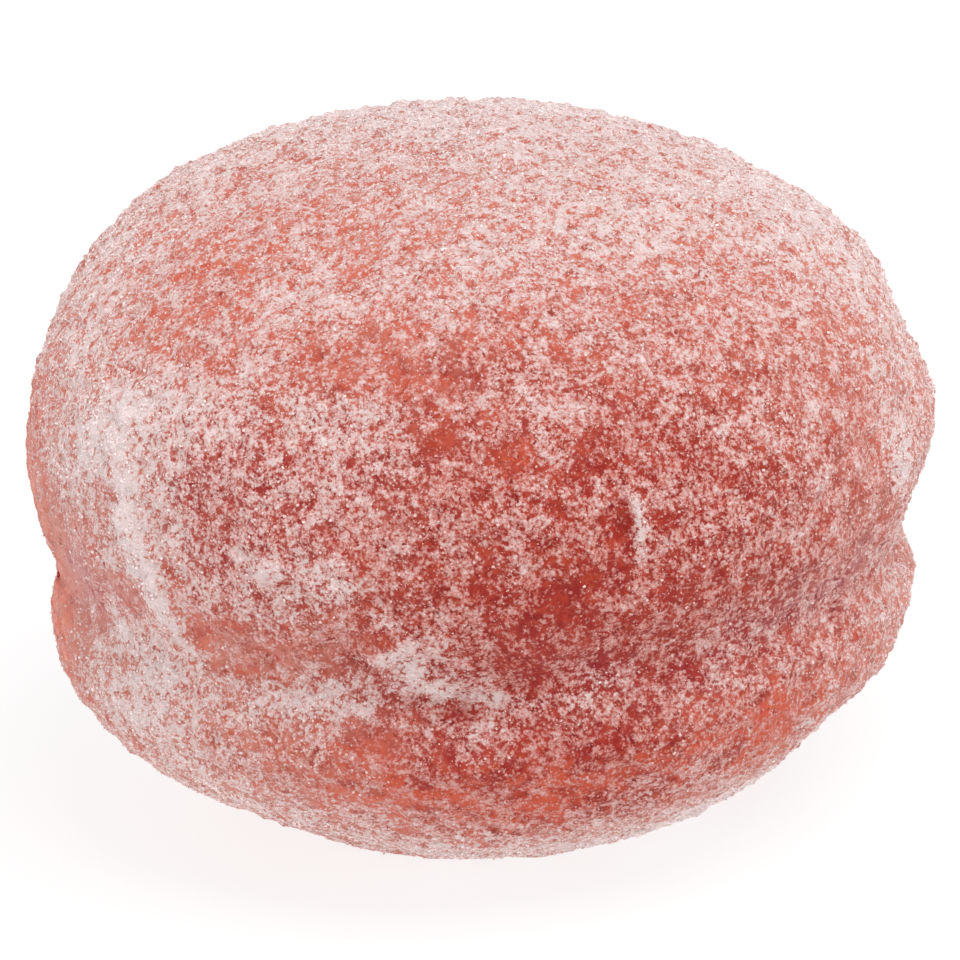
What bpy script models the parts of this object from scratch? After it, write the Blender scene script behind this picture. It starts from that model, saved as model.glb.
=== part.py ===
"""Mini doughnut: one uncut ball of fried dough without a hole, as a single solid.

The dough is two cushions grown together.  The crown is the large upper one, the lobe the smaller
lower one, and the crease runs round the side where they meet.  The doughnut stands on a small flat
spot under the lobe.  Lengths are given in millimetres and turned into metres when the mesh is made.
Azimuth 0 looks out to the front (-Y), azimuth 90 to the right (+X).
"""

import math

import bmesh
import bpy
from mathutils import Vector, noise

MM = 0.001

# Crown: the upper cushion
CROWN_RADIUS = 30.0
CROWN_MIDDLE_HEIGHT = 24.4
CROWN_RISE = 20.4
CROWN_DROP = 16.9
CROWN_FULLNESS = 2.17
CROWN_LEAN = -0.004
CROWN_OVAL = 0.026
CROWN_TRIANGLE = -0.013

# Lobe: the lower cushion
LOBE_RADIUS = 29.1
LOBE_MIDDLE_HEIGHT = 13.0
LOBE_RISE = 10.5
LOBE_DROP = 17.4
LOBE_FULLNESS = 1.6
LOBE_SHIFT = 0.45
LOBE_LEAN = -0.007
LOBE_OVAL = -0.022
LOBE_TRIANGLE = 0.016

# Crease: a soft groove that is sharp only at the notches.  The blend is how far apart the skins of
# the two cushions may lie and still grow together.  Each notch is azimuth and spread (degrees).
SOFT_BLEND = 6.5
SHARP_BLEND = 0.9
NOTCHES = (
    (-88.0, 11.0),
    (84.0, 10.0),
    (-4.0, 5.0),
    (-160.0, 14.0),
)

# Waves of the crown's lip: azimuth, spread (degrees) and extra drop of the crown
LIP_WAVES = (
    (-17.0, 8.0, -0.9),
    (4.0, 7.0, 0.7),
    (19.0, 9.0, 1.0),
    (62.0, 8.0, 0.6),
    (-62.0, 12.0, 0.7),
    (150.0, 20.0, 0.6),
    (-140.0, 16.0, -0.5),
)

# Swells and dents of the whole surface: azimuth, elevation, spread (degrees), height
SWELLS = (
    (84.0, 11.0, 8.0, 0.25),
    (88.0, -3.0, 6.0, -0.85),
    (94.0, 25.0, 9.0, 0.15),
    (121.0, 47.0, 13.0, -0.35),
    (52.0, -31.0, 9.0, 0.1),
    (-83.0, 4.0, 7.0, 0.35),
    (-88.0, -9.0, 6.0, -0.95),
    (-67.0, -21.0, 10.0, 0.15),
    (-98.0, 21.0, 9.0, -0.35),
    (-130.0, 47.0, 14.0, 0.2),
    (-55.0, 24.0, 9.0, 0.25),
    (-40.0, -40.0, 10.0, -0.2),
    (10.0, 40.0, 16.0, 0.2),
    (170.0, 10.0, 18.0, -0.3),
    (150.0, -15.0, 14.0, 0.3),
)

# Ridge on the right of the lobe, under which the skin turns in towards the flat spot
RIDGE_START = -12.0
RIDGE_END = 76.0
RIDGE_FADE = 9.0
RIDGE_START_ELEVATION = -32.0
RIDGE_END_ELEVATION = -14.0
RIDGE_SPREAD = 4.0
RIDGE_HEIGHT = 0.45

# Uneven skin: size of a lump and how far it stands out
LUMP_SIZE = 6.5
LUMP_HEIGHT = 0.28
SMALL_LUMP_SIZE = 2.8
SMALL_LUMP_HEIGHT = 0.10
LUMP_OFFSET = Vector((3.1, 7.4, 1.9))

# Heart: the point inside the dough that every point of the skin is seen from.  No skin lies farther
# from it than the farthest reach, and a ray meets the floor only if it dips more than this (radians).
HEART_HEIGHT = 20.0
FARTHEST_REACH = 50.0
LEAST_DIP = 0.1

# Searches: how often a span is halved, and the elevations (degrees) that the crease and the rim lie
# between
REACH_HALVINGS = 24
ELEVATION_HALVINGS = 20
CREASE_SEARCH = (-35.0, 15.0)
RIM_SEARCH = (-80.0, -35.0)

# Mesh: ball of rows and columns, with one row held on the crease and one on the rim of the base
COLUMNS = 96
ROWS = 60
CREASE_ROW = -12.0
BASE_ROW = -66.0
CREASE_BUNCHING = 0.45

# Slack: how near a row angle (radians) or a height (mm) counts as on the rim or on the floor
ROW_SLACK = 0.001
FLOOR_SLACK = 0.001

CRUST_COLOUR = (0.62, 0.33, 0.30, 1.0)
CRUST_ROUGHNESS = 0.75


def clear_scene():
    for thing in list(bpy.data.objects):
        bpy.data.objects.remove(thing, do_unlink=True)


def ray(azimuth, elevation):
    """Unit vector out of the heart, from angles in radians."""
    level = math.cos(elevation)
    return Vector((math.sin(azimuth) * level, -math.cos(azimuth) * level, math.sin(elevation)))


def turn_between(angle, other):
    """Shortest turn in degrees from one azimuth to another."""
    return (angle - other + 180.0) % 360.0 - 180.0


def lip_drop(azimuth):
    """Drop of the crown below its widest plane at this azimuth."""
    drop = CROWN_DROP
    for middle, spread, extra in LIP_WAVES:
        turn = turn_between(math.degrees(azimuth), middle)
        drop += extra * math.exp(-0.5 * (turn / spread) ** 2)
    return drop


def out_of_round(azimuth, oval, triangle):
    return 1.0 + oval * math.sin(2.0 * azimuth) + triangle * math.sin(3.0 * azimuth)


def fills_crown(point):
    """Below 1 inside the crown, above 1 outside it."""
    azimuth = math.atan2(point.x, -point.y)
    radius = CROWN_RADIUS * out_of_round(azimuth, CROWN_OVAL, CROWN_TRIANGLE)
    height = point.z - CROWN_MIDDLE_HEIGHT - CROWN_LEAN * point.x
    across = math.hypot(point.x, point.y) / radius
    if height > 0.0:
        return across ** CROWN_FULLNESS + (height / CROWN_RISE) ** CROWN_FULLNESS
    return across ** 2 + (height / lip_drop(azimuth)) ** 2


def fills_lobe(point):
    """Below 1 inside the lobe, above 1 outside it."""
    x = point.x - LOBE_SHIFT
    azimuth = math.atan2(x, -point.y)
    radius = LOBE_RADIUS * out_of_round(azimuth, LOBE_OVAL, LOBE_TRIANGLE)
    height = point.z - LOBE_MIDDLE_HEIGHT - LOBE_LEAN * x
    across = math.hypot(x, point.y) / radius
    if height > 0.0:
        return across ** 2 + (height / LOBE_RISE) ** 2
    return across ** LOBE_FULLNESS + (-height / LOBE_DROP) ** LOBE_FULLNESS


def reach_of(fills, direction):
    """How far a cushion's skin lies from the heart in this direction."""
    heart = Vector((0.0, 0.0, HEART_HEIGHT))
    near = 0.0
    far = FARTHEST_REACH
    for _ in range(REACH_HALVINGS):
        middle = (near + far) / 2.0
        if fills(heart + direction * middle) < 1.0:
            near = middle
        else:
            far = middle
    return near


def crease_blend(azimuth):
    """How softly the two cushions grow together at this azimuth."""
    sharpness = 0.0
    for middle, spread in NOTCHES:
        turn = turn_between(math.degrees(azimuth), middle)
        sharpness = max(sharpness, math.exp(-0.5 * (turn / spread) ** 2))
    return SOFT_BLEND + (SHARP_BLEND - SOFT_BLEND) * sharpness


def ridge_at(direction):
    """Height of the ridge on the lobe in this direction."""
    azimuth = math.degrees(math.atan2(direction.x, -direction.y))
    elevation = math.degrees(math.asin(direction.z))
    along = (azimuth - RIDGE_START) / (RIDGE_END - RIDGE_START)
    middle = RIDGE_START_ELEVATION + (RIDGE_END_ELEVATION - RIDGE_START_ELEVATION) * along
    beyond = max(RIDGE_START - azimuth, azimuth - RIDGE_END, 0.0)
    away = ((elevation - middle) / RIDGE_SPREAD) ** 2 + (beyond / RIDGE_FADE) ** 2
    return RIDGE_HEIGHT * math.exp(-0.5 * away)


def swell_at(direction):
    """Height of all swells and lumps together in this direction."""
    height = ridge_at(direction)
    for azimuth, elevation, spread, rise in SWELLS:
        middle = ray(math.radians(azimuth), math.radians(elevation))
        apart = math.degrees(direction.angle(middle))
        height += rise * math.exp(-0.5 * (apart / spread) ** 2)
    place = direction * CROWN_RADIUS
    height += LUMP_HEIGHT * noise.noise(place / LUMP_SIZE + LUMP_OFFSET)
    height += SMALL_LUMP_HEIGHT * noise.noise(place / SMALL_LUMP_SIZE + LUMP_OFFSET)
    return height


def dough_reach(direction):
    """How far the skin of the grown-together dough lies from the heart, before the flat spot."""
    crown = reach_of(fills_crown, direction)
    lobe = reach_of(fills_lobe, direction)
    reach = crease_blend(math.atan2(direction.x, -direction.y))
    filling = max(reach - abs(crown - lobe), 0.0) ** 2 / (4.0 * reach)
    return max(crown, lobe) + filling + swell_at(direction)


def floor_reach(elevation):
    """How far the flat spot's plane lies from the heart, for an elevation in radians."""
    if elevation > -LEAST_DIP:
        return FARTHEST_REACH
    return HEART_HEIGHT / -math.sin(elevation)


def elevation_where(test, span):
    """Elevation within the span where the test turns from true (low side) to false, in radians."""
    low = math.radians(span[0])
    high = math.radians(span[1])
    for _ in range(ELEVATION_HALVINGS):
        middle = (low + high) / 2.0
        if test(middle):
            low = middle
        else:
            high = middle
    return low


def crease_elevation(azimuth):
    def lobe_is_outside(elevation):
        direction = ray(azimuth, elevation)
        return reach_of(fills_lobe, direction) > reach_of(fills_crown, direction)

    return elevation_where(lobe_is_outside, CREASE_SEARCH)


def rim_elevation(azimuth):
    def floor_is_inside(elevation):
        return floor_reach(elevation) < dough_reach(ray(azimuth, elevation))

    return elevation_where(floor_is_inside, RIM_SEARCH)


def bunched(part):
    """Moves rows towards the crease, which lies at part = 0."""
    return part * (1.0 - CREASE_BUNCHING * (1.0 - part))


def skin_elevation(row, crease, rim):
    """Turns the even row angle of the ball into the elevation of that row on the dough."""
    top = math.radians(90.0)
    crease_row = math.radians(CREASE_ROW)
    base_row = math.radians(BASE_ROW)
    if row >= crease_row:
        part = (row - crease_row) / (top - crease_row)
        return crease + (top - crease) * bunched(part)
    if row >= base_row:
        part = (crease_row - row) / (crease_row - base_row)
        return crease + (rim - crease) * bunched(part)
    part = (base_row - row) / (base_row + top)
    return rim + (-top - rim) * part


def shape_skin(mesh):
    """Moves every vertex of the ball along its own ray onto the skin of the dough."""
    columns = {}
    for vertex in mesh.verts:
        row = math.asin(max(-1.0, min(1.0, vertex.co.z)))
        azimuth = math.atan2(vertex.co.x, -vertex.co.y)
        key = round(math.degrees(azimuth), 2)
        if key not in columns:
            columns[key] = (crease_elevation(azimuth), rim_elevation(azimuth))
        crease, rim = columns[key]
        elevation = skin_elevation(row, crease, rim)
        direction = ray(azimuth, elevation)
        if row <= math.radians(BASE_ROW) + ROW_SLACK:
            reach = floor_reach(elevation)
        else:
            reach = dough_reach(direction)
        vertex.co = direction * reach + Vector((0.0, 0.0, HEART_HEIGHT))


def centre_on_base(mesh):
    """Puts the middle of the doughnut over the origin and its flat spot at height zero."""
    for axis in (0, 1):
        places = [vertex.co[axis] for vertex in mesh.verts]
        middle = (min(places) + max(places)) / 2.0
        for vertex in mesh.verts:
            vertex.co[axis] -= middle
    for vertex in mesh.verts:
        if vertex.co.z < FLOOR_SLACK:
            vertex.co.z = 0.0


def crust_material():
    material = bpy.data.materials.new("sugared crust")
    material.use_nodes = True
    surface = material.node_tree.nodes["Principled BSDF"]
    surface.inputs["Base Color"].default_value = CRUST_COLOUR
    surface.inputs["Roughness"].default_value = CRUST_ROUGHNESS
    surface.inputs["Metallic"].default_value = 0.0
    return material


def make_doughnut():
    mesh = bmesh.new()
    bmesh.ops.create_uvsphere(mesh, u_segments=COLUMNS, v_segments=ROWS, radius=1.0)
    shape_skin(mesh)
    centre_on_base(mesh)
    bmesh.ops.scale(mesh, vec=(MM, MM, MM), verts=mesh.verts)
    bmesh.ops.recalc_face_normals(mesh, faces=mesh.faces)
    for face in mesh.faces:
        face.smooth = True
    data = bpy.data.meshes.new("doughnut")
    mesh.to_mesh(data)
    mesh.free()
    data.materials.append(crust_material())
    doughnut = bpy.data.objects.new("doughnut", data)
    bpy.context.scene.collection.objects.link(doughnut)
    return doughnut


clear_scene()
make_doughnut()
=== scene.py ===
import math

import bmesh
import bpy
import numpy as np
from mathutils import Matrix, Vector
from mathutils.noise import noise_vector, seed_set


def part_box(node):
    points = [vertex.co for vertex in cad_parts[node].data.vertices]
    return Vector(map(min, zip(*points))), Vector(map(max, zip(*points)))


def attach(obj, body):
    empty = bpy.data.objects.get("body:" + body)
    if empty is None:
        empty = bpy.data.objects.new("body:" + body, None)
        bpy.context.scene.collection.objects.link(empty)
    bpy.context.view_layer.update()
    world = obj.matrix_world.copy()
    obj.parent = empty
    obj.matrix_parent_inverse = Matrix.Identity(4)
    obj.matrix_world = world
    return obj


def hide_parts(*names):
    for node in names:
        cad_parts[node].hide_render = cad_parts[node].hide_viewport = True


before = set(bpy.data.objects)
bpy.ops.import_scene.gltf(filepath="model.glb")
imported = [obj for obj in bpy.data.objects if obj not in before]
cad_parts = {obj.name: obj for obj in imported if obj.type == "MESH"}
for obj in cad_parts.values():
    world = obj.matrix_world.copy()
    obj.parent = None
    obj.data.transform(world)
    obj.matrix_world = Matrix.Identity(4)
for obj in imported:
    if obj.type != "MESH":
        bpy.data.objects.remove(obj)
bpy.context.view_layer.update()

# Looks of the mini doughnut: a red fried crust under a coat of fine sugar.
#
# The crust is a subdivided copy of the CAD solid with its fine relief.  How thickly the sugar lies is
# worked out once for the whole skin and kept on the crust as attributes.  The crust's material and
# the sugar grains, which are real little solids, both follow them.
# Lengths are in metres.  Angles are in degrees, unless a comment says radians, and are seen from the
# heart of the dough: azimuth 0 looks out to the front (-Y), azimuth 90 to the right (+X), and
# elevation 90 straight up.

MM = 0.001

LOW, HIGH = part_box("doughnut")
HEIGHT = HIGH.z - LOW.z

# Heart of the dough: where every angle is seen from, and how high it lies as a part of the height
HEART_SHARE = 0.445
HEART = Vector((0.0, 0.0, HEART_SHARE * HEIGHT))

# Camera: a long lens a little above the doughnut, turned so that its right side stands higher
CAMERA_ELEVATION = 21.4
CAMERA_ROLL = -3.6
CAMERA_DISTANCE = 0.4
CAMERA_LENS = 223.4
CAMERA_SENSOR = 36.0
CAMERA_AIM = Vector((-0.00006, 0.0, 0.02086))
CAMERA_CLIP_START = 0.01
CAMERA_CLIP_END = 10.0

# Light: strength of the white surroundings, and each lamp's name, place, width and power
SURROUNDINGS_STRENGTH = 0.6
LAMPS = (
    ("soft box above", (0.24, -0.22, 0.75), 0.6, 3.8),
    ("fill on the left", (-0.68, 0.0, 0.12), 0.5, 1.25),
    ("fill in front", (0.25, -0.75, 0.12), 0.5, 0.7),
)

# Floor: a wide pale sheet that glows, so that the shadow on it stays faint
FLOOR_REACH = 3.0
FLOOR_TONE = 0.22
FLOOR_ROUGHNESS = 0.9
FLOOR_GLOW = 0.79

# Colours as they read in a photograph, each channel up to 255: the bare crust and its pits, the crust
# under a haze of the finest sugar, the sugar on it, and the tones of the grains.  Some also carry painted
# shade: the deep red of the crust also stands for the shade in the gaps between the sugar clots, the pit
# red for the shade in the pits, crimson and rose for the shade along the crease, and the pink-red rim of
# the sugar for the shade in the cracks between its clots.
DEEP_RED_AND_GAP_SHADE = (140, 10, 8)
CRIMSON_AND_CREASE_SHADE = (148, 16, 30)
PIT_RED_AND_SHADE = (120, 8, 14)
ORANGE_RED = (200, 78, 50)
SALMON = (206, 136, 119)
PEACH = (230, 128, 102)
ROSE_AND_CREASE_SHADE = (198, 132, 132)
SUGAR_RIM_AND_SHADE = (214, 120, 108)
THIN_SUGAR = (230, 178, 170)
THICK_SUGAR = (237, 216, 214)
SUGAR_TONES = (
    (246, 231, 230),
    (237, 213, 210),
    (229, 194, 189),
    (224, 174, 166),
    (215, 150, 140),
)

# The reddest part of the crust, and how far from it the crust grows pale
RED_PLACE = (17.0, 3.0)
RED_REACH = 16.0
PALE_REACH = 66.0

# Sugar: how much lies everywhere, how much more where the crust is pale, and the least that the
# patches leave.  Each patch is azimuth, elevation, width, height, turn, and how much more lies there.
EVEN_DUST = 0.57
PALE_DUST = 0.03
LEAST_DUST = 0.22
DUST_PATCHES = (
    # Drifts on the front of the crown, the thickest on the left
    (-56.0, 22.0, 8.0, 4.0, 35.0, 0.20),
    (-50.0, 10.0, 4.0, 8.0, 15.0, 0.14),
    (-43.0, 18.0, 3.0, 3.0, 0.0, 0.14),
    (-36.0, 28.0, 8.0, 6.0, 0.0, 0.18),
    (-68.0, 29.0, 8.0, 6.0, 0.0, 0.14),
    (-40.0, 10.0, 4.0, 3.0, 0.0, 0.12),
    (-34.0, 48.0, 5.0, 4.0, -30.0, 0.12),
    (-27.5, 12.5, 2.0, 1.6, 0.0, 0.20),
    (-20.0, 9.5, 4.0, 2.0, -10.0, 0.22),
    (8.0, 28.0, 2.4, 3.0, 0.0, 0.16),
    (-21.0, 31.0, 3.0, 2.0, 0.0, 0.12),
    # Caught in the crease and on the lobe
    (-9.0, -2.0, 5.0, 3.0, -35.0, 0.12),
    (-19.0, -5.0, 4.0, 2.0, 0.0, 0.18),
    (-1.0, -5.5, 3.0, 2.0, 0.0, 0.12),
    (-28.0, -9.0, 7.0, 3.5, 0.0, 0.12),
    (-50.0, -8.0, 7.0, 5.0, 0.0, 0.24),
    (-38.0, -22.0, 9.0, 5.0, 0.0, 0.04),
    (-11.0, 3.0, 2.0, 6.0, 0.0, 0.12),
    (-4.0, -14.0, 3.0, 3.0, 0.0, 0.12),
    (13.0, -4.0, 3.0, 2.0, 0.0, 0.24),
    (60.0, -7.0, 7.0, 4.0, 0.0, 0.20),
    (50.0, -36.0, 20.0, 5.0, 20.0, 0.26),
    (12.0, -6.0, 4.0, 2.4, 0.0, 0.16),
    (-25.0, -6.5, 4.0, 2.4, 0.0, 0.14),
    (20.0, -46.0, 60.0, 9.0, 0.0, 0.20),
    # Over the top and down the sides
    (64.0, 11.0, 2.6, 4.0, 0.0, 0.30),
    (18.0, 40.0, 4.0, 1.8, 5.0, 0.16),
    (85.0, 34.0, 12.0, 16.0, 0.0, 0.17),
    (30.0, 56.0, 24.0, 9.0, 0.0, 0.10),
    (60.0, 66.0, 40.0, 16.0, 0.0, 0.05),
    (62.0, 40.0, 16.0, 12.0, 0.0, 0.03),
    (6.0, 40.0, 16.0, 5.0, 0.0, -0.12),
    (-85.0, 28.0, 10.0, 14.0, 0.0, 0.20),
    (180.0, 62.0, 40.0, 26.0, 0.0, 0.32),
    # On the back, as uneven as the front
    (122.0, 24.0, 8.0, 5.0, 30.0, 0.26),
    (-118.0, 6.0, 4.0, 9.0, 12.0, 0.26),
    (-150.0, 28.0, 11.0, 5.0, 20.0, 0.24),
    (168.0, -14.0, 14.0, 3.0, -8.0, 0.26),
    (98.0, -40.0, 20.0, 6.0, 0.0, 0.30),
    (145.0, -44.0, 22.0, 6.0, 0.0, 0.26),
    (-165.0, -42.0, 20.0, 6.0, 0.0, 0.28),
    (-118.0, -42.0, 20.0, 6.0, 0.0, 0.28),
    (148.0, 8.0, 9.0, 7.0, 15.0, -0.30),
    (-142.0, -9.0, 9.0, 5.0, -8.0, -0.26),
    (-172.0, 24.0, 7.0, 5.0, 0.0, -0.20),
    (112.0, -10.0, 8.0, 5.0, 10.0, -0.24),
    # Where it has come off
    (11.0, 3.0, 9.0, 8.0, -10.0, -0.34),
    (35.0, 5.0, 7.0, 5.0, 0.0, -0.16),
    (3.0, 25.0, 2.0, 2.2, 0.0, -0.24),
    (-17.0, 3.0, 3.0, 3.0, 0.0, -0.24),
    (11.0, 24.0, 3.0, 3.0, 0.0, -0.16),
    (20.0, 25.0, 4.0, 3.0, 0.0, -0.14),
    (-3.0, 23.0, 3.0, 3.0, 0.0, -0.14),
    (-2.0, 12.0, 2.5, 4.0, 0.0, -0.12),
    (-5.0, 34.0, 2.6, 1.6, 0.0, -0.20),
    (-12.0, 13.0, 4.0, 4.0, 0.0, -0.18),
    (-31.0, 0.0, 9.0, 2.4, -10.0, -0.26),
    (-3.0, -18.0, 17.0, 4.5, 0.0, -0.28),
    (-13.0, -13.0, 4.0, 3.0, 0.0, -0.14),
    (37.0, -15.0, 5.0, 2.5, 0.0, -0.20),
    (-73.0, 0.0, 9.0, 8.0, 0.0, -0.36),
    (-86.0, 0.0, 8.0, 20.0, 0.0, -0.30),
    (-46.0, 38.0, 14.0, 9.0, 0.0, -0.05),
    (56.0, -6.0, 8.0, 6.0, 0.0, -0.16),
    (-34.0, 25.0, 3.0, 4.0, 0.0, -0.16),
    (-17.0, 38.0, 6.0, 3.0, 0.0, -0.12),
    (14.0, 13.0, 2.5, 2.5, 0.0, -0.16),
    (27.0, 8.0, 2.5, 4.0, 0.0, -0.16),
    (30.0, 19.0, 4.0, 3.0, 0.0, -0.12),
    (13.0, -14.5, 6.0, 3.0, 0.0, -0.20),
    (-52.0, 4.0, 3.0, 3.0, 0.0, -0.14),
    (52.0, 8.0, 6.0, 6.0, 0.0, -0.10),
    (57.0, 19.0, 4.0, 4.0, 0.0, -0.12),
)

# Small marks in the sugar, which keep their places beside the folds of the crust
DUST_MARKS = (
    # The long drifts on the left
    (-57.5, 20.5, 4.5, 1.6, 45.0, 0.36),
    (-52.5, 26.0, 3.0, 1.6, 45.0, 0.26),
    (-48.8, 13.0, 1.5, 4.0, 12.0, 0.44),
    (-45.8, 6.0, 1.2, 4.0, 28.0, 0.40),
    (-42.5, -1.0, 1.0, 3.4, 34.0, 0.30),
    (-57.0, -2.0, 1.4, 2.6, 40.0, 0.30),
    # The heap over the crease and the ledge beside it
    (-13.0, 1.6, 2.0, 0.8, 35.0, 0.20),
    (-10.5, -1.4, 0.8, 2.4, 30.0, 0.20),
    (-7.0, -5.0, 1.5, 0.9, -15.0, 0.42),
    (1.0, -6.6, 4.6, 0.6, -3.0, 0.18),
    (-14.0, 3.6, 1.8, 0.7, 10.0, -0.50),
    (-4.6, -8.2, 1.5, 0.6, -5.0, -0.70),
    (3.5, -2.5, 3.6, 2.0, 0.0, -0.30),
    # The slit and the white rim beside it
    (17.1, 16.0, 0.8, 1.8, 0.0, -0.90),
    (18.9, 15.8, 0.6, 1.9, 0.0, 0.90),
    (-5.0, 27.5, 1.4, 1.0, 0.0, -0.36),
    (-16.0, -10.5, 2.0, 1.4, 0.0, -0.40),
    (7.5, 7.5, 2.4, 1.6, 0.0, -0.26),
)

# Where the bare crust turns orange, or crimson: azimuth, elevation, width, height, turn, and how
# strongly it turns.  The crimson along the crease is painted shade, and the orange on the left limb is
# partly painted light.
ORANGE_AND_LIMB_LIGHT_PATCHES = (
    (-4.0, -19.0, 13.0, 5.0, 0.0, 0.9),
    (36.0, -15.0, 10.0, 5.0, 0.0, 0.9),
    # On the left limb, these two: orange crust, and partly painted light for the edge light and the light
    # through the thin crust
    (-74.0, -8.0, 5.0, 5.0, 0.0, 0.8),
    (-86.0, 2.0, 9.0, 24.0, 0.0, 0.6),
    (-50.0, 48.0, 18.0, 9.0, 0.0, 0.4),
    (0.0, 66.0, 70.0, 16.0, 0.0, 0.5),
    (72.0, -14.0, 8.0, 8.0, 0.0, 0.6),
    (-84.0, 16.0, 6.0, 10.0, 0.0, 0.6),
    (4.0, 26.0, 2.6, 2.6, 0.0, 0.3),
    (-43.0, 4.0, 3.0, 6.0, 20.0, 0.6),
    (148.0, 8.0, 11.0, 7.0, 0.0, 0.8),
    (-142.0, -10.0, 10.0, 6.0, 0.0, 0.7),
    (112.0, -12.0, 9.0, 6.0, 0.0, 0.7),
)
CRIMSON_AND_CREASE_SHADE_PATCHES = (
    # Along the crease: painted shade, a darker crimson where the crown overhangs the lobe
    (46.0, -1.0, 12.0, 3.0, 8.0, 0.9),
    (-60.0, 0.0, 8.0, 4.0, 0.0, 0.8),
    (28.0, -6.0, 12.0, 3.0, 0.0, 0.6),
    (2.0, -11.0, 8.0, 2.5, 0.0, 0.8),
    (11.0, -2.5, 5.0, 2.0, 0.0, 0.7),
    (-14.0, -5.0, 7.0, 2.0, 0.0, 0.5),
    # On the crown and round the back
    (-18.0, 22.0, 6.0, 4.0, 0.0, 0.4),
    (-34.0, 22.0, 8.0, 9.0, 0.0, 0.60),
    (-176.0, -8.0, 16.0, 3.0, 0.0, 0.7),
    (128.0, 30.0, 9.0, 6.0, 0.0, 0.4),
)

# Haze: the thin film of the finest sugar, thinnest where the crust is reddest, and its patches, one of
# which is painted light on the left limb
LEAST_HAZE = 0.02
MOST_HAZE = 0.66
HAZE_AND_LIMB_LIGHT_PATCHES = (
    (2.0, -19.0, 18.0, 4.0, 0.0, -0.22),
    (-36.0, 17.0, 12.0, 14.0, 0.0, -0.42),
    (-48.0, 44.0, 20.0, 13.0, 0.0, -0.25),
    (-45.0, -12.0, 14.0, 8.0, 0.0, 0.10),
    (-55.0, 24.0, 9.0, 8.0, 0.0, 0.15),
    (32.0, -9.0, 14.0, 5.0, 5.0, 0.10),
    # On the left limb: painted light, a paler salmon for the edge light and the light through the thin
    # crust
    (-70.0, -4.0, 10.0, 9.0, 0.0, 0.34),
    (148.0, 8.0, 13.0, 9.0, 0.0, -0.30),
    (-142.0, -10.0, 12.0, 7.0, 0.0, -0.30),
    (-172.0, 24.0, 9.0, 7.0, 0.0, -0.24),
    (112.0, -12.0, 9.0, 6.0, 0.0, -0.24),
    (0.0, -44.0, 60.0, 9.0, 0.0, 0.24),
    (45.0, -32.0, 25.0, 7.0, 20.0, 0.26),
    (-31.0, -1.0, 8.0, 3.0, -10.0, 0.14),
)

# Patterns of noise: size of a lump, detail, roughness, and how far off in the noise it is taken from
LACE = (0.38 * MM, 2.0, 0.6, 0.0)
CLUMPS = (1.1 * MM, 2.0, 0.6, 0.3)
DRIFTS = (3.0 * MM, 2.0, 0.6, 0.6)
FINE_LACE = (0.16 * MM, 3.0, 0.65, 0.9)
PITS = (0.45 * MM, 4.0, 0.62, 0.8)
LUMPS = (3.4 * MM, 2.0, 0.55, 0.0)
CRUMBS = (1.1 * MM, 3.0, 0.6, 0.2)
BLOTCHES = (2.2 * MM, 3.0, 0.6, 0.1)
FLECKS = (0.5 * MM, 3.0, 0.65, 0.3)
CLOUDS = (1.3 * MM, 4.0, 0.65, 0.5)

# Net of sugar: how much the dust and each pattern count for its depth.  Pits in the crust stay open.
LACE_REACH = 0.20
LACE_SHARE = 0.42
CLUMP_SHARE = 0.37
DRIFT_SHARE = 0.17
FINE_SHARE = 0.34
PIT_DEPTH = 0.30

# Clots that the sugar is heaped up in: how far apart they lie, how far their borders are bent, how
# much they count for the depth, and the middle of the distance from their hearts
CLOT_SIZE = 0.25 * MM
CLOT_BEND = 0.18 * MM
CLOT_SHARE = 0.13
CLOT_MIDDLE = 0.50

# Ragged borders of the patches: the seed, how far they wander as a part of the radius, and the size of
# the bends
WANDER_SEED = 4
BROAD_WANDER = 0.05
BROAD_WANDER_SIZE = 6.0 * MM
FINE_WANDER = 0.022
FINE_WANDER_SIZE = 2.0 * MM

# Folds and marks in the crust: azimuth, elevation, width, height, turn, and how far they stand out in
# millimetres
FOLDS = (
    (-48.5, 10.0, 1.4, 6.0, 14.0, 0.45),
    (-43.0, 1.0, 1.4, 4.5, 32.0, 0.40),
    (-7.5, -4.6, 2.6, 1.1, -18.0, 0.60),
    (-14.0, 2.0, 1.6, 1.4, 30.0, 0.45),
    (-17.0, -0.6, 2.2, 0.9, -20.0, -0.60),
    (-4.0, -6.8, 3.0, 0.8, -8.0, -0.50),
    (17.3, 16.0, 0.7, 2.0, 0.0, -0.75),
    (18.5, 15.8, 0.6, 2.0, 0.0, 0.40),
    (52.0, -9.0, 14.0, 3.0, 0.0, 0.45),
    (-57.0, 23.0, 5.0, 4.0, 0.0, 0.30),
    (-27.5, 12.5, 2.2, 1.8, 0.0, 0.25),
    (64.0, 11.0, 2.4, 4.0, 0.0, 0.30),
    # Swells and hollows that show in the outline
    (-90.0, -4.0, 14.0, 3.0, 0.0, 0.60),
    (-90.0, -7.0, 14.0, 3.2, 0.0, 1.35),
    (-90.0, -18.0, 14.0, 5.0, 0.0, -0.50),
    (88.0, 20.0, 14.0, 4.0, 0.0, -0.60),
    (88.0, 9.5, 14.0, 3.2, 0.0, 0.45),
    (84.0, 3.0, 10.0, 3.4, 0.0, -0.80),
    (80.0, -10.5, 10.0, 2.6, 0.0, 0.45),
    (78.0, -14.5, 10.0, 2.2, 0.0, -0.30),
    (66.0, -25.0, 10.0, 4.0, 0.0, -0.50),
    (0.0, -48.0, 40.0, 6.0, 0.0, -0.25),
    (62.0, -32.0, 16.0, 8.0, 0.0, -0.40),
    (-32.0, -38.0, 18.0, 7.0, 0.0, -0.30),
    (-110.0, 45.0, 26.0, 14.0, 0.0, 0.35),
    (120.0, 45.0, 30.0, 16.0, 0.0, 0.30),
)

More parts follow.
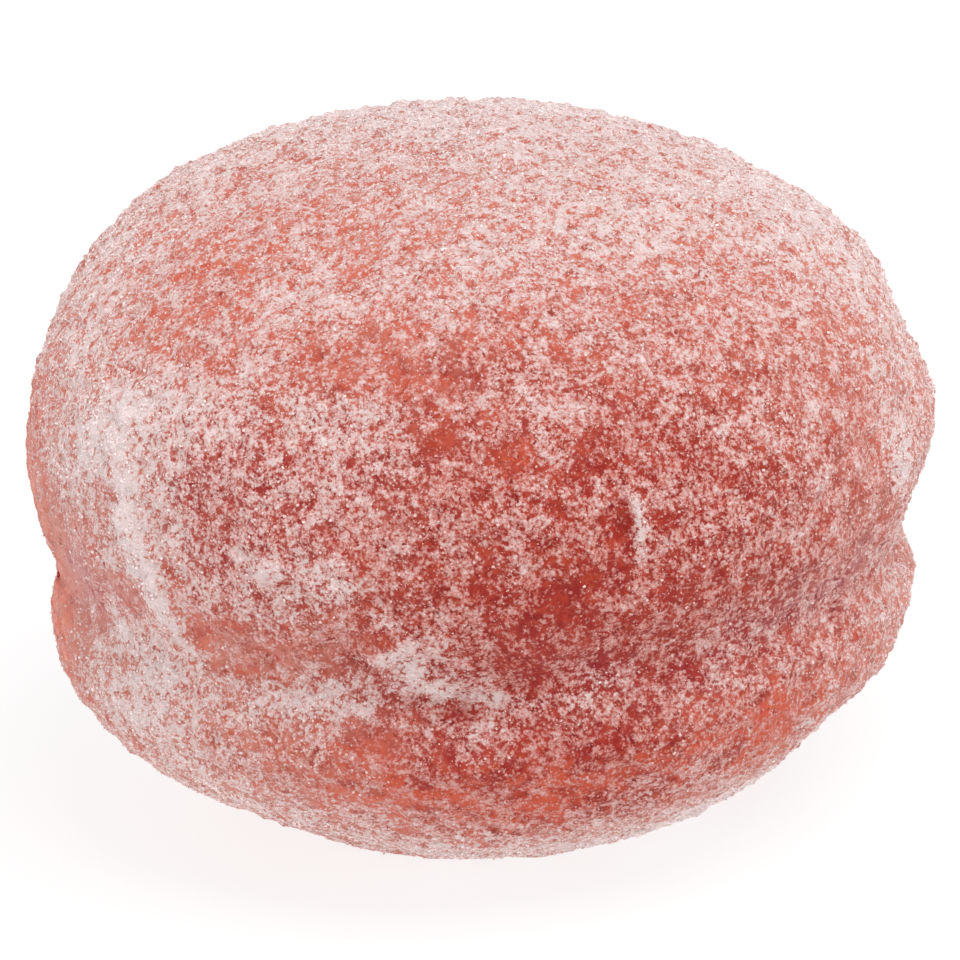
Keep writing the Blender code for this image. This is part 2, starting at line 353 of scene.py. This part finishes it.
# Mesh of the crust: how near points are merged, how far from flat and from square two triangles may
# be to become one face (radians), and how often the faces are divided
MERGE_DISTANCE = 0.001 * MM
FLAT_LIMIT = 0.7
SQUARE_LIMIT = 3.1
CRUST_LEVELS = 2

# Relief of the crust: how high lumps, crumbs and drifts are, the part of the crumbs that stands where
# no dust lies, and the heights above the floor between which the relief sets in
LUMP_HEIGHT = 0.85 * MM
CRUMB_HEIGHT = 1.30 * MM
DRIFT_HEIGHT = 0.10 * MM
BARE_CRUMBS = 0.3
RELIEF_FOOT = (0.1 * MM, 1.2 * MM)

# Ramps: the noise that each starts and ends at, and what it then leads from and to
PIT_RAMP = (0.32, 0.40, 1.0, 0.0)
FLECK_RAMP = (0.42, 0.64, 0.0, 1.0)
ORANGE_RAMP = (0.36, 0.62, 0.2, 1.6)
CRIMSON_AND_CREASE_SHADE_RAMP = (0.3, 0.7, 1.3, 0.5)
CLOUD_RAMP = (0.34, 0.66, 0.4, 1.5)

# How orange the bare crust is everywhere, and how much more in its patches, in haze and in flecks
ORANGE_EVERYWHERE = 0.10
ORANGE_IN_PATCHES = 0.8
ORANGE_IN_HAZE = 0.9
ORANGE_IN_FLECKS = 0.34

# How dark the pits show, partly as painted shade in these hollows, and how much less in haze
PIT_STRENGTH = 0.7
PIT_LOSS_IN_HAZE = 0.6

# Layers of sugar on the crust: the depths of the net between which each one sets in
RIM_AND_SHADE_EDGE = (-0.08, 0.02)
FILM_EDGE = (-0.06, 0.11)
PILE_EDGE = (0.12, 0.30)
MOUND_EDGE = (-0.10, 0.22)

# How strongly they cover: the pink-red rim, partly painted shade in the cracks between clots, the
# film without dust and its gain from dust, what dust adds to the piles, and how much one clot differs
# from the next
RIM_AND_SHADE_STRENGTH = 0.6
FILM_STRENGTH = 0.6
FILM_GAIN = 0.5
PILE_GAIN = 0.20
CLOT_VARIETY = 0.06

# Finish of the crust: its roughness, what the film adds to it, and the shader's other inputs by name
CRUST_ROUGHNESS = 0.5
FILM_ROUGHNESS = 0.30
CRUST_FINISH = {
    "Specular IOR Level": 0.2,
    "Sheen Weight": 0.25,
    "Sheen Roughness": 0.4,
    "Subsurface Weight": 0.08,
    "Subsurface Radius": (1.0, 0.35, 0.25),
    "Subsurface Scale": 0.2 * MM,
}
BUMP_STRENGTH = 0.8
BUMP_HEIGHT = 0.13 * MM
FINE_BUMP = 0.25

# Drifts in the relief and grains: how softly each ends at the border of the net, and the heights above
# the floor between which grains set in
DRIFT_EDGE = 0.08
GRAIN_EDGE = 0.03
GRAIN_FOOT = (0.3 * MM, 0.5 * MM)

# Grains: how far one leans out of the skin (radians), and how much more common small ones are
GRAIN_TILT = 0.7
SMALL_GRAIN_BIAS = 1.8

# Tone of the grains, 0 for clean white: the tone where no dust lies, how much whiter dust and haze
# make it, how much it varies, and how much less it varies in dust
BARE_TONE = 0.78
DUST_WHITENING = 0.75
HAZE_WHITENING = 0.3
TONE_VARIETY = 0.9
DUST_EVENNESS = 0.6

# Finish of the grains: roughness and shine of the whitest, what each next tone adds or takes away,
# and a painted glow that lifts each grain's shaded side, standing in for the light a grain lets through
WHITE_ROUGHNESS = 0.24
ROUGHNESS_STEP = 0.10
WHITE_SHINE = 0.5
SHINE_STEP = 0.05
PAINTED_GRAIN_GLOW = 0.10

# Shapes of the grains, as parts of a grain's size: corners, radius, height and drop of a pointed one,
# and the sides of a block
POINTED_SHAPES = {
    "splinter": (3, 0.66, 0.5, 0.2),
    "chip": (4, 0.62, 0.45, 0.25),
}
BLOCK_SIDES = (0.9, 0.7, 0.5)

# Pieces of sugar: name, shape, seed, grains on a square millimetre, smallest and largest grain in
# millimetres, how far they are lifted as a part of their size, and the share that lies in the gaps
SUGAR_PIECES = (
    ("sugar_powder", "splinter", 11, 6.4, 0.06, 0.12, 0.2, 0.25),
    ("sugar_specks", "splinter", 23, 6.4, 0.07, 0.14, 0.2, 0.35),
    ("sugar_grit", "splinter", 31, 6.4, 0.08, 0.16, 0.25, 0.25),
    ("sugar_grains", "chip", 37, 4.1, 0.08, 0.18, 0.25, 0.3),
    ("sugar_crystals", "block", 41, 2.0, 0.08, 0.20, 0.35, 0.4),
)


def photo_colour(rgb):
    """Turns a colour of the photograph into the linear one a shader wants."""
    linear = []
    for channel in rgb:
        part = channel / 255.0
        linear.append(part / 12.92 if part <= 0.04045 else ((part + 0.055) / 1.055) ** 2.4)
    return (*linear, 1.0)


def add_node(tree, kind, inputs=None, **settings):
    """Adds a node.  An input that is a socket is linked, any other is set."""
    node = tree.nodes.new(kind)
    for name, value in settings.items():
        setattr(node, name, value)
    for key, value in (inputs or {}).items():
        if isinstance(value, bpy.types.NodeSocket):
            tree.links.new(value, node.inputs[key])
        else:
            node.inputs[key].default_value = value
    return node


def calc(tree, operation, first, second=0.0, third=0.0):
    node = add_node(tree, "ShaderNodeMath", {0: first, 1: second, 2: third}, operation=operation)
    return node.outputs[0]


def between(tree, value, low, high, start=0.0, end=1.0):
    """Smoothly carries a value between low and high over to between start and end."""
    node = add_node(
        tree,
        "ShaderNodeMapRange",
        {"Value": value, "From Min": low, "From Max": high, "To Min": start, "To Max": end},
        interpolation_type="SMOOTHSTEP",
    )
    return node.outputs["Result"]


def noise(tree, position, size, detail, roughness, shift):
    """Soft noise from 0 to 1, with lumps of the given size."""
    if shift:
        shifts = (shift, shift, shift)
        moved = add_node(tree, "ShaderNodeVectorMath", {0: position, 1: shifts}, operation="ADD")
        position = moved.outputs[0]
    node = add_node(
        tree,
        "ShaderNodeTexNoise",
        {"Vector": position, "Scale": 1.0 / size, "Detail": detail, "Roughness": roughness},
    )
    return node.outputs[0]


def scaled(tree, vector, scale):
    node = add_node(tree, "ShaderNodeVectorMath", {0: vector, "Scale": scale}, operation="SCALE")
    return node.outputs[0]


def clots(tree, position):
    """Uneven clots of sugar: a texture with the distance from the heart of a clot, and its colour."""
    bend = add_node(
        tree, "ShaderNodeTexNoise", {"Vector": position, "Scale": 1.0 / CLOT_SIZE, "Detail": 1.0}
    )
    bend = scaled(tree, bend.outputs["Color"], CLOT_BEND)
    bent = add_node(tree, "ShaderNodeVectorMath", {0: position, 1: bend}, operation="ADD")
    return add_node(
        tree, "ShaderNodeTexVoronoi", {"Vector": bent.outputs[0], "Scale": 1.0 / CLOT_SIZE}
    )


def pits(tree, position):
    """1 in the small pits of the crust, 0 beside them."""
    return between(tree, noise(tree, position, *PITS), *PIT_RAMP)


def sugar_depth(tree, position, dust):
    """How deep the sugar lies: above 0 in its net, below 0 in the gaps, with smaller gaps in more dust."""
    middle = 0.5 * (LACE_REACH + LACE_SHARE + CLUMP_SHARE + DRIFT_SHARE)
    depth = calc(tree, "MULTIPLY_ADD", dust, LACE_REACH, -middle)
    for pattern, share in ((LACE, LACE_SHARE), (CLUMPS, CLUMP_SHARE), (DRIFTS, DRIFT_SHARE)):
        depth = calc(tree, "MULTIPLY_ADD", noise(tree, position, *pattern), share, depth)
    open_pits = calc(tree, "MULTIPLY", pits(tree, position), calc(tree, "SUBTRACT", 1.0, dust))
    return calc(tree, "MULTIPLY_ADD", open_pits, -PIT_DEPTH, depth)


def clotted(tree, depth, apart):
    """The same depth heaped up in each clot, with cracks between the clots."""
    raised = calc(tree, "ADD", depth, CLOT_SHARE * CLOT_MIDDLE)
    return calc(tree, "MULTIPLY_ADD", apart, -CLOT_SHARE, raised)


def direction_of(azimuth, elevation):
    azimuth = math.radians(azimuth)
    elevation = math.radians(elevation)
    level = math.cos(elevation)
    return np.array((math.sin(azimuth) * level, -math.cos(azimuth) * level, math.sin(elevation)))


def patch_sum(directions, patches):
    """Adds up soft oval patches over the skin, for an array of unit directions from the heart."""
    total = np.zeros(len(directions))
    for azimuth, elevation, wide, tall, turn, amount in patches:
        out = direction_of(azimuth, elevation)
        right = direction_of(azimuth + 90.0, 0.0)
        up = np.cross(right, out) * -1.0
        ahead = directions @ out
        across = np.degrees(np.arctan2(directions @ right, ahead))
        above = np.degrees(np.arctan2(directions @ up, ahead))
        cosine = math.cos(math.radians(turn))
        sine = math.sin(math.radians(turn))
        along = (across * cosine + above * sine) / wide
        beside = (above * cosine - across * sine) / tall
        total += amount * np.exp(-0.5 * (along ** 2 + beside ** 2))
    return total


def keep_field(mesh, name, values):
    field = mesh.attributes.new(name, "FLOAT", "POINT")
    field.data.foreach_set("value", values.astype(np.float32))


def wandering(places, directions):
    """Turns the directions a little to and fro, so that patches get ragged borders."""
    seed_set(WANDER_SEED)
    turned = np.array(directions)
    for number, place in enumerate(places):
        broad = noise_vector(Vector(place) / BROAD_WANDER_SIZE) * BROAD_WANDER
        fine = noise_vector(Vector(place) / FINE_WANDER_SIZE) * FINE_WANDER
        turned[number] += broad + fine
    return turned / np.linalg.norm(turned, axis=1)[:, None]


def mark_skin(mesh):
    """Keeps on the skin how much dust and haze lie on each place, how its colour turns, and the folds."""
    places = np.zeros(len(mesh.vertices) * 3)
    mesh.vertices.foreach_get("co", places)
    places = places.reshape(-1, 3)
    rays = places - np.array(HEART)
    straight = rays / np.linalg.norm(rays, axis=1)[:, None]
    directions = wandering(places, straight)
    apart = np.degrees(np.arccos(np.clip(directions @ direction_of(*RED_PLACE), -1.0, 1.0)))
    away = np.clip((apart - RED_REACH) / (PALE_REACH - RED_REACH), 0.0, 1.0)
    away = away * away * (3.0 - 2.0 * away)
    dust = EVEN_DUST + PALE_DUST * away + patch_sum(directions, DUST_PATCHES)
    haze = LEAST_HAZE + (MOST_HAZE - LEAST_HAZE) * away + patch_sum(directions, HAZE_AND_LIMB_LIGHT_PATCHES)
    dust = np.clip(dust, LEAST_DUST, 1.0) + patch_sum(straight, DUST_MARKS)
    keep_field(mesh, "dust", np.clip(dust, 0.0, 1.0))
    keep_field(mesh, "haze", np.clip(haze, 0.0, 1.0))
    keep_field(mesh, "orange", patch_sum(directions, ORANGE_AND_LIMB_LIGHT_PATCHES))
    keep_field(mesh, "crimson_and_crease_shade", patch_sum(directions, CRIMSON_AND_CREASE_SHADE_PATCHES))
    keep_field(mesh, "fold", patch_sum(straight, FOLDS))


def link(thing):
    bpy.context.scene.collection.objects.link(thing)
    return thing


def make_crust_shape():
    """A merged, squared and subdivided copy of the solid."""
    mesh = bmesh.new()
    mesh.from_mesh(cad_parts["doughnut"].data)
    bmesh.ops.remove_doubles(mesh, verts=mesh.verts, dist=MERGE_DISTANCE)
    bmesh.ops.join_triangles(
        mesh, faces=mesh.faces, angle_face_threshold=FLAT_LIMIT, angle_shape_threshold=SQUARE_LIMIT
    )
    for face in mesh.faces:
        face.smooth = True
    data = bpy.data.meshes.new("crust")
    mesh.to_mesh(data)
    mesh.free()
    if "custom_normal" in data.attributes:
        data.attributes.remove(data.attributes["custom_normal"])
    crust = link(bpy.data.objects.new("crust", data))
    rounding = crust.modifiers.new("rounding", "SUBSURF")
    rounding.levels = CRUST_LEVELS
    rounding.render_levels = CRUST_LEVELS
    return bake_shape(crust, "crust")


def bake_shape(thing, name):
    """Turns an object with modifiers into a plain mesh object, which takes its place."""
    shown = thing.evaluated_get(bpy.context.evaluated_depsgraph_get())
    mesh = bpy.data.meshes.new_from_object(shown)
    bpy.data.objects.remove(thing, do_unlink=True)
    mesh.name = name
    return link(bpy.data.objects.new(name, mesh))


def new_tree(name, inputs):
    """A Geometry Nodes tree with the given named number inputs."""
    tree = bpy.data.node_groups.new(name, "GeometryNodeTree")
    tree.interface.new_socket("Geometry", in_out="INPUT", socket_type="NodeSocketGeometry")
    for label in inputs:
        tree.interface.new_socket(label, in_out="INPUT", socket_type="NodeSocketFloat")
    tree.interface.new_socket("Geometry", in_out="OUTPUT", socket_type="NodeSocketGeometry")
    return tree, add_node(tree, "NodeGroupInput")


def end_tree(tree, geometry):
    add_node(tree, "NodeGroupOutput", {"Geometry": geometry})


def use_tree(thing, tree, values):
    """Puts the tree on the object and sets its named inputs by their identifiers."""
    modifier = thing.modifiers.new(tree.name, "NODES")
    modifier.node_group = tree
    for socket in tree.interface.items_tree:
        if socket.in_out == "INPUT" and socket.name in values:
            modifier[socket.identifier] = float(values[socket.name])


def named_field(tree, name):
    node = add_node(tree, "GeometryNodeInputNamedAttribute", {"Name": name}, data_type="FLOAT")
    return node.outputs[0]


def height_of(tree, position):
    return add_node(tree, "ShaderNodeSeparateXYZ", {0: position}).outputs["Z"]


def relief_tree(material):
    """Moves the skin in and out: soft lumps, crumbs of caked sugar, drifts and the folds."""
    tree, start = new_tree("crust relief", ("Lumps", "Crumbs", "Drifts", "Folds"))
    position = add_node(tree, "GeometryNodeInputPosition").outputs[0]
    normal = add_node(tree, "GeometryNodeInputNormal").outputs[0]
    dust = named_field(tree, "dust")
    lumps = calc(tree, "SUBTRACT", noise(tree, position, *LUMPS), 0.5)
    crumbs = calc(tree, "SUBTRACT", noise(tree, position, *CRUMBS), 0.5)
    crumbs = calc(tree, "MULTIPLY", crumbs, calc(tree, "ADD", dust, BARE_CRUMBS))
    drifts = between(tree, sugar_depth(tree, position, dust), -DRIFT_EDGE, DRIFT_EDGE)
    drifts = calc(tree, "MULTIPLY", drifts, dust)
    height = calc(tree, "MULTIPLY", lumps, start.outputs["Lumps"])
    height = calc(tree, "MULTIPLY_ADD", crumbs, start.outputs["Crumbs"], height)
    height = calc(tree, "MULTIPLY_ADD", drifts, start.outputs["Drifts"], height)
    height = calc(tree, "MULTIPLY_ADD", named_field(tree, "fold"), start.outputs["Folds"], height)
    standing = between(tree, height_of(tree, position), *RELIEF_FOOT)
    offset = scaled(tree, normal, calc(tree, "MULTIPLY", height, standing))
    moved = add_node(
        tree, "GeometryNodeSetPosition", {"Geometry": start.outputs["Geometry"], "Offset": offset}
    )
    coated = add_node(
        tree, "GeometryNodeSetMaterial", {"Geometry": moved.outputs[0], "Material": material}
    )
    end_tree(tree, coated.outputs[0])
    return tree


def material_field(tree, name):
    return add_node(tree, "ShaderNodeAttribute", attribute_name=name).outputs["Fac"]


def blend_colours(tree, amount, first, second):
    node = add_node(
        tree, "ShaderNodeMix", {"Factor": amount, "A": first, "B": second}, data_type="RGBA"
    )
    return node.outputs["Result"]


def new_material(name):
    material = bpy.data.materials.new(name)
    material.use_nodes = True
    return material, material.node_tree.nodes["Principled BSDF"]


def bare_crust(tree, position, haze):
    """Red, crimson and orange crust, paler where the finest sugar hazes it, and dark in its pits; painted
    shade lies in its deep red gaps, in its pits and in the crimson along the crease, and painted light on
    the left limb.
    """
    blotches = noise(tree, position, *BLOTCHES)
    flecks = between(tree, noise(tree, position, *FLECKS), *FLECK_RAMP)
    patches = material_field(tree, "orange")
    orange = calc(tree, "MULTIPLY_ADD", patches, ORANGE_IN_PATCHES, ORANGE_EVERYWHERE)
    orange = calc(tree, "MULTIPLY_ADD", haze, ORANGE_IN_HAZE, orange)
    orange = calc(tree, "MULTIPLY", orange, between(tree, blotches, *ORANGE_RAMP))
    orange = calc(tree, "MULTIPLY_ADD", flecks, ORANGE_IN_FLECKS, orange)
    # Crimson crust, and painted shade where the crimson lies along the crease
    crimson_and_crease_shade = material_field(tree, "crimson_and_crease_shade")
    crimson_and_crease_shade = calc(tree, "MULTIPLY", crimson_and_crease_shade, between(tree, blotches, *CRIMSON_AND_CREASE_SHADE_RAMP))
    # Painted shade: the deep red also stands for the shade in the gaps between the sugar clots
    colour = blend_colours(tree, orange, photo_colour(DEEP_RED_AND_GAP_SHADE), photo_colour(ORANGE_RED))
    colour = blend_colours(tree, crimson_and_crease_shade, colour, photo_colour(CRIMSON_AND_CREASE_SHADE))
    cloud = between(tree, noise(tree, position, *CLOUDS), *CLOUD_RAMP)
    hazy = blend_colours(tree, patches, photo_colour(SALMON), photo_colour(PEACH))
    # Rose: the hazy crust in crimson places, and painted shade along the crease
    hazy = blend_colours(tree, crimson_and_crease_shade, hazy, photo_colour(ROSE_AND_CREASE_SHADE))
    colour = blend_colours(tree, calc(tree, "MULTIPLY", haze, cloud), colour, hazy)
    # Painted shade in the pits: a darker red, weaker where haze fills them
    darkness = calc(tree, "MULTIPLY_ADD", haze, -PIT_LOSS_IN_HAZE, PIT_STRENGTH)
    deep = calc(tree, "MULTIPLY", pits(tree, position), darkness)
    return blend_colours(tree, deep, colour, photo_colour(PIT_RED_AND_SHADE))


def sugared(tree, colour, pile, film, dust):
    """Lays a pink-red rim, partly painted shade in the cracks between clots, then the film and the piles
    of sugar over the colour of the crust.
    """
    rim_and_shade = calc(tree, "MULTIPLY", between(tree, pile, *RIM_AND_SHADE_EDGE), RIM_AND_SHADE_STRENGTH)
    piled = between(tree, calc(tree, "MULTIPLY_ADD", dust, PILE_GAIN, pile), *PILE_EDGE)
    # The pink-red rim: partly painted shade in the cracks between the clots
    colour = blend_colours(tree, rim_and_shade, colour, photo_colour(SUGAR_RIM_AND_SHADE))
    colour = blend_colours(tree, film, colour, photo_colour(THIN_SUGAR))
    return blend_colours(tree, piled, colour, photo_colour(THICK_SUGAR))


def crust_material():
    """The crust under a film of fine sugar that is thin in a lace and thick in the drifts."""
    material, surface = new_material("sugared crust")
    tree = material.node_tree
    position = add_node(tree, "ShaderNodeTexCoord").outputs["Object"]
    dust = material_field(tree, "dust")

    clot = clots(tree, position)
    tone = add_node(tree, "ShaderNodeSeparateXYZ", {0: clot.outputs["Color"]}).outputs["X"]
    fine = noise(tree, position, *FINE_LACE)
    depth = clotted(tree, sugar_depth(tree, position, dust), clot.outputs["Distance"])
    depth = calc(tree, "SUBTRACT", depth, 0.5 * FINE_SHARE)
    depth = calc(tree, "MULTIPLY_ADD", fine, FINE_SHARE, depth)
    pile = calc(tree, "MULTIPLY_ADD", calc(tree, "SUBTRACT", tone, 0.5), CLOT_VARIETY, depth)
    strength = calc(tree, "MULTIPLY_ADD", dust, FILM_GAIN, FILM_STRENGTH)
    film = calc(tree, "MULTIPLY", between(tree, pile, *FILM_EDGE), strength)

    colour = bare_crust(tree, position, material_field(tree, "haze"))
    colour = sugared(tree, colour, pile, film, dust)
    tree.links.new(colour, surface.inputs["Base Color"])
    roughness = calc(tree, "MULTIPLY_ADD", film, FILM_ROUGHNESS, CRUST_ROUGHNESS)
    tree.links.new(roughness, surface.inputs["Roughness"])
    for name, value in CRUST_FINISH.items():
        surface.inputs[name].default_value = value

    height = calc(tree, "MULTIPLY_ADD", fine, FINE_BUMP, between(tree, depth, *MOUND_EDGE))
    bump = add_node(
        tree, "ShaderNodeBump", {"Strength": BUMP_STRENGTH, "Distance": BUMP_HEIGHT, "Height": height}
    )
    tree.links.new(bump.outputs["Normal"], surface.inputs["Normal"])
    return material


def sugar_materials():
    """Tones of sugar, from clean white grains to ones the crust shows through."""
    made = []
    for number, tone in enumerate(SUGAR_TONES):
        material, surface = new_material("sugar tone %d" % (number + 1))
        surface.inputs["Base Color"].default_value = photo_colour(tone)
        surface.inputs["Roughness"].default_value = WHITE_ROUGHNESS + ROUGHNESS_STEP * number
        surface.inputs["Specular IOR Level"].default_value = WHITE_SHINE - SHINE_STEP * number
        # Painted glow: each grain gives off a little light in its own tone, to lift its shaded side
        surface.inputs["Emission Color"].default_value = photo_colour(tone)
        surface.inputs["Emission Strength"].default_value = PAINTED_GRAIN_GLOW
        made.append(material)
    return made


def grain_shape(tree, kind):
    """The small shape that stands for every grain of a piece: a pointed one or a block."""
    if kind in POINTED_SHAPES:
        corners, radius, height, drop = POINTED_SHAPES[kind]
        shape = add_node(
            tree,
            "GeometryNodeMeshCone",
            {"Vertices": corners, "Radius Bottom": radius, "Radius Top": 0.0, "Depth": height},
            fill_type="NGON",
        )
    else:
        drop = 0.0
        shape = add_node(tree, "GeometryNodeMeshCube", {"Size": BLOCK_SIDES})
    placed = add_node(
        tree,
        "GeometryNodeTransform",
        {"Geometry": shape.outputs["Mesh"], "Translation": (0.0, 0.0, -drop)},
    )
    return placed.outputs[0]


def random_number(tree, low, high, seed):
    node = add_node(
        tree, "FunctionNodeRandomValue", {2: low, 3: high, "Seed": seed}, data_type="FLOAT"
    )
    return node.outputs[1]


def grain_share(tree, position, dust, loose):
    """How likely a grain lies at a place: surely in the net, seldom in its gaps, never by the floor."""
    apart = clots(tree, position).outputs["Distance"]
    depth = clotted(tree, sugar_depth(tree, position, dust), apart)
    net = between(tree, depth, -GRAIN_EDGE, GRAIN_EDGE)
    share = calc(tree, "MAXIMUM", net, calc(tree, "MULTIPLY", dust, loose))
    return calc(tree, "MULTIPLY", share, between(tree, height_of(tree, position), *GRAIN_FOOT))


def grain_turn(tree, rotation, seed):
    """Turns each grain about its own axis at random, and tilts it a little out of the skin."""
    tilt = add_node(
        tree,
        "FunctionNodeRandomValue",
        {0: (-GRAIN_TILT, -GRAIN_TILT, 0.0), 1: (GRAIN_TILT, GRAIN_TILT, math.tau), "Seed": seed},
        data_type="FLOAT_VECTOR",
    )
    turned = add_node(
        tree,
        "FunctionNodeRotateRotation",
        {"Rotation": rotation, "Rotate By": tilt.outputs[0]},
        rotation_space="LOCAL",
    )
    return turned.outputs[0]


def grain_size(tree, smallest, largest, seed):
    spread = calc(tree, "POWER", random_number(tree, 0.0, 1.0, seed), SMALL_GRAIN_BIAS)
    return between(tree, spread, 0.0, 1.0, smallest, largest)


def grain_tone(tree, dust, seed):
    """How much of the crust shows through each grain: least in thick dust and in haze."""
    tone = calc(tree, "MULTIPLY_ADD", dust, -DUST_WHITENING, BARE_TONE)
    tone = calc(tree, "MULTIPLY_ADD", named_field(tree, "haze"), -HAZE_WHITENING, tone)
    variety = calc(tree, "MULTIPLY_ADD", dust, -DUST_EVENNESS, TONE_VARIETY)
    return calc(tree, "MULTIPLY_ADD", random_number(tree, 0.0, 1.0, seed), variety, tone)


def paint_grains(tree, geometry, tones):
    """Gives each grain the material of its tone."""
    tone = named_field(tree, "tone")
    for number, material in enumerate(tones):
        chosen = calc(tree, "GREATER_THAN", tone, number / len(tones)) if number else True
        painted = add_node(
            tree,
            "GeometryNodeSetMaterial",
            {"Geometry": geometry, "Selection": chosen, "Material": material},
        )
        geometry = painted.outputs[0]
    return geometry


def sugar_tree(name, kind, tones, seed):
    """Strews grains over the skin, more where the dust lies and in the drifts of the lace."""
    tree, start = new_tree(name, ("Per square metre", "Smallest", "Largest", "Lift", "Loose share"))
    position = add_node(tree, "GeometryNodeInputPosition").outputs[0]
    dust = named_field(tree, "dust")
    points = add_node(
        tree,
        "GeometryNodeDistributePointsOnFaces",
        {
            "Mesh": start.outputs["Geometry"],
            "Density": start.outputs["Per square metre"],
            "Seed": seed,
        },
        distribute_method="RANDOM",
    )
    share = grain_share(tree, position, dust, start.outputs["Loose share"])
    missing = calc(tree, "GREATER_THAN", random_number(tree, 0.0, 1.0, seed + 5), share)
    lying = add_node(
        tree,
        "GeometryNodeDeleteGeometry",
        {"Geometry": points.outputs["Points"], "Selection": missing},
    )
    toned = add_node(
        tree,
        "GeometryNodeStoreNamedAttribute",
        {"Geometry": lying.outputs[0], "Name": "tone", "Value": grain_tone(tree, dust, seed + 4)},
        data_type="FLOAT",
        domain="POINT",
    )
    size = grain_size(tree, start.outputs["Smallest"], start.outputs["Largest"], seed + 2)
    instances = add_node(
        tree,
        "GeometryNodeInstanceOnPoints",
        {
            "Points": toned.outputs[0],
            "Instance": grain_shape(tree, kind),
            "Rotation": grain_turn(tree, points.outputs["Rotation"], seed + 1),
            "Scale": size,
        },
    )
    lift = calc(tree, "MULTIPLY", size, start.outputs["Lift"])
    offset = scaled(tree, points.outputs["Normal"], lift)
    lifted = add_node(
        tree,
        "GeometryNodeTranslateInstances",
        {"Instances": instances.outputs[0], "Translation": offset, "Local Space": False},
    )
    grains = add_node(tree, "GeometryNodeRealizeInstances", {"Geometry": lifted.outputs[0]})
    end_tree(tree, paint_grains(tree, grains.outputs[0], tones))
    return tree


def make_sugar(crust, name, kind, tones, seed, values):
    """One piece of sugar: every grain of a kind, strewn over the crust."""
    carrier = link(bpy.data.objects.new(name + " carrier", crust.data.copy()))
    carrier.data.materials.clear()
    use_tree(carrier, sugar_tree(name, kind, tones, seed), values)
    piece = bake_shape(carrier, name)
    for kept in ("dust", "haze", "orange", "crimson_and_crease_shade", "fold", "tone"):
        if kept in piece.data.attributes:
            piece.data.attributes.remove(piece.data.attributes[kept])
    return piece


def make_all_sugar(crust):
    tones = sugar_materials()
    pieces = []
    for name, kind, seed, density, smallest, largest, lift, loose in SUGAR_PIECES:
        values = {
            "Per square metre": density / (MM * MM),
            "Smallest": smallest * MM,
            "Largest": largest * MM,
            "Lift": lift,
            "Loose share": loose,
        }
        pieces.append(make_sugar(crust, name, kind, tones, seed, values))
    return pieces


def make_crust():
    """The crust: its shape, the marks of dust, haze and colour on it, its relief and its material."""
    smooth = make_crust_shape()
    mark_skin(smooth.data)
    smooth.data.materials.clear()
    heights = {"Lumps": LUMP_HEIGHT, "Crumbs": CRUMB_HEIGHT, "Drifts": DRIFT_HEIGHT, "Folds": MM}
    use_tree(smooth, relief_tree(crust_material()), heights)
    return bake_shape(smooth, "crust")


def make_floor():
    floor_mesh = bpy.data.meshes.new("floor")
    corners = [
        (-FLOOR_REACH, -FLOOR_REACH, 0.0),
        (FLOOR_REACH, -FLOOR_REACH, 0.0),
        (FLOOR_REACH, FLOOR_REACH, 0.0),
        (-FLOOR_REACH, FLOOR_REACH, 0.0),
    ]
    floor_mesh.from_pydata(corners, [], [(0, 1, 2, 3)])
    floor = link(bpy.data.objects.new("floor", floor_mesh))
    material, surface = new_material("plain pale floor")
    surface.inputs["Base Color"].default_value = (FLOOR_TONE, FLOOR_TONE, FLOOR_TONE, 1.0)
    surface.inputs["Roughness"].default_value = FLOOR_ROUGHNESS
    surface.inputs["Emission Color"].default_value = (1.0, 1.0, 1.0, 1.0)
    surface.inputs["Emission Strength"].default_value = FLOOR_GLOW
    floor.data.materials.append(material)


def add_lamp(name, place, size, power):
    light = bpy.data.lights.new(name, "AREA")
    light.shape = "DISK"
    light.size = size
    light.energy = power
    lamp = link(bpy.data.objects.new(name, light))
    lamp.location = place
    lamp.rotation_euler = (HEART - Vector(place)).to_track_quat("-Z", "Y").to_euler()


def light_studio():
    world = bpy.data.worlds.new("studio")
    world.use_nodes = True
    background = world.node_tree.nodes["Background"]
    background.inputs["Color"].default_value = (1.0, 1.0, 1.0, 1.0)
    background.inputs["Strength"].default_value = SURROUNDINGS_STRENGTH
    bpy.context.scene.world = world
    for name, place, size, power in LAMPS:
        add_lamp(name, place, size, power)
    bpy.context.scene.view_settings.view_transform = "Standard"


def place_camera():
    camera_data = bpy.data.cameras.new("camera")
    camera_data.lens = CAMERA_LENS
    camera_data.sensor_width = CAMERA_SENSOR
    camera_data.clip_start = CAMERA_CLIP_START
    camera_data.clip_end = CAMERA_CLIP_END
    camera = link(bpy.data.objects.new("camera", camera_data))
    rise = math.radians(CAMERA_ELEVATION)
    back = Vector((0.0, -math.cos(rise), math.sin(rise)))
    facing = back.to_track_quat("Z", "Y").to_matrix().to_4x4()
    roll = Matrix.Rotation(math.radians(CAMERA_ROLL), 4, "Z")
    camera.matrix_world = Matrix.Translation(CAMERA_AIM + back * CAMERA_DISTANCE) @ facing @ roll
    bpy.context.scene.camera = camera


place_camera()
light_studio()
make_floor()

crust = make_crust()
pieces = make_all_sugar(crust)

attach(crust, "root")
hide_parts("doughnut")
for piece in pieces:
    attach(piece, "root")
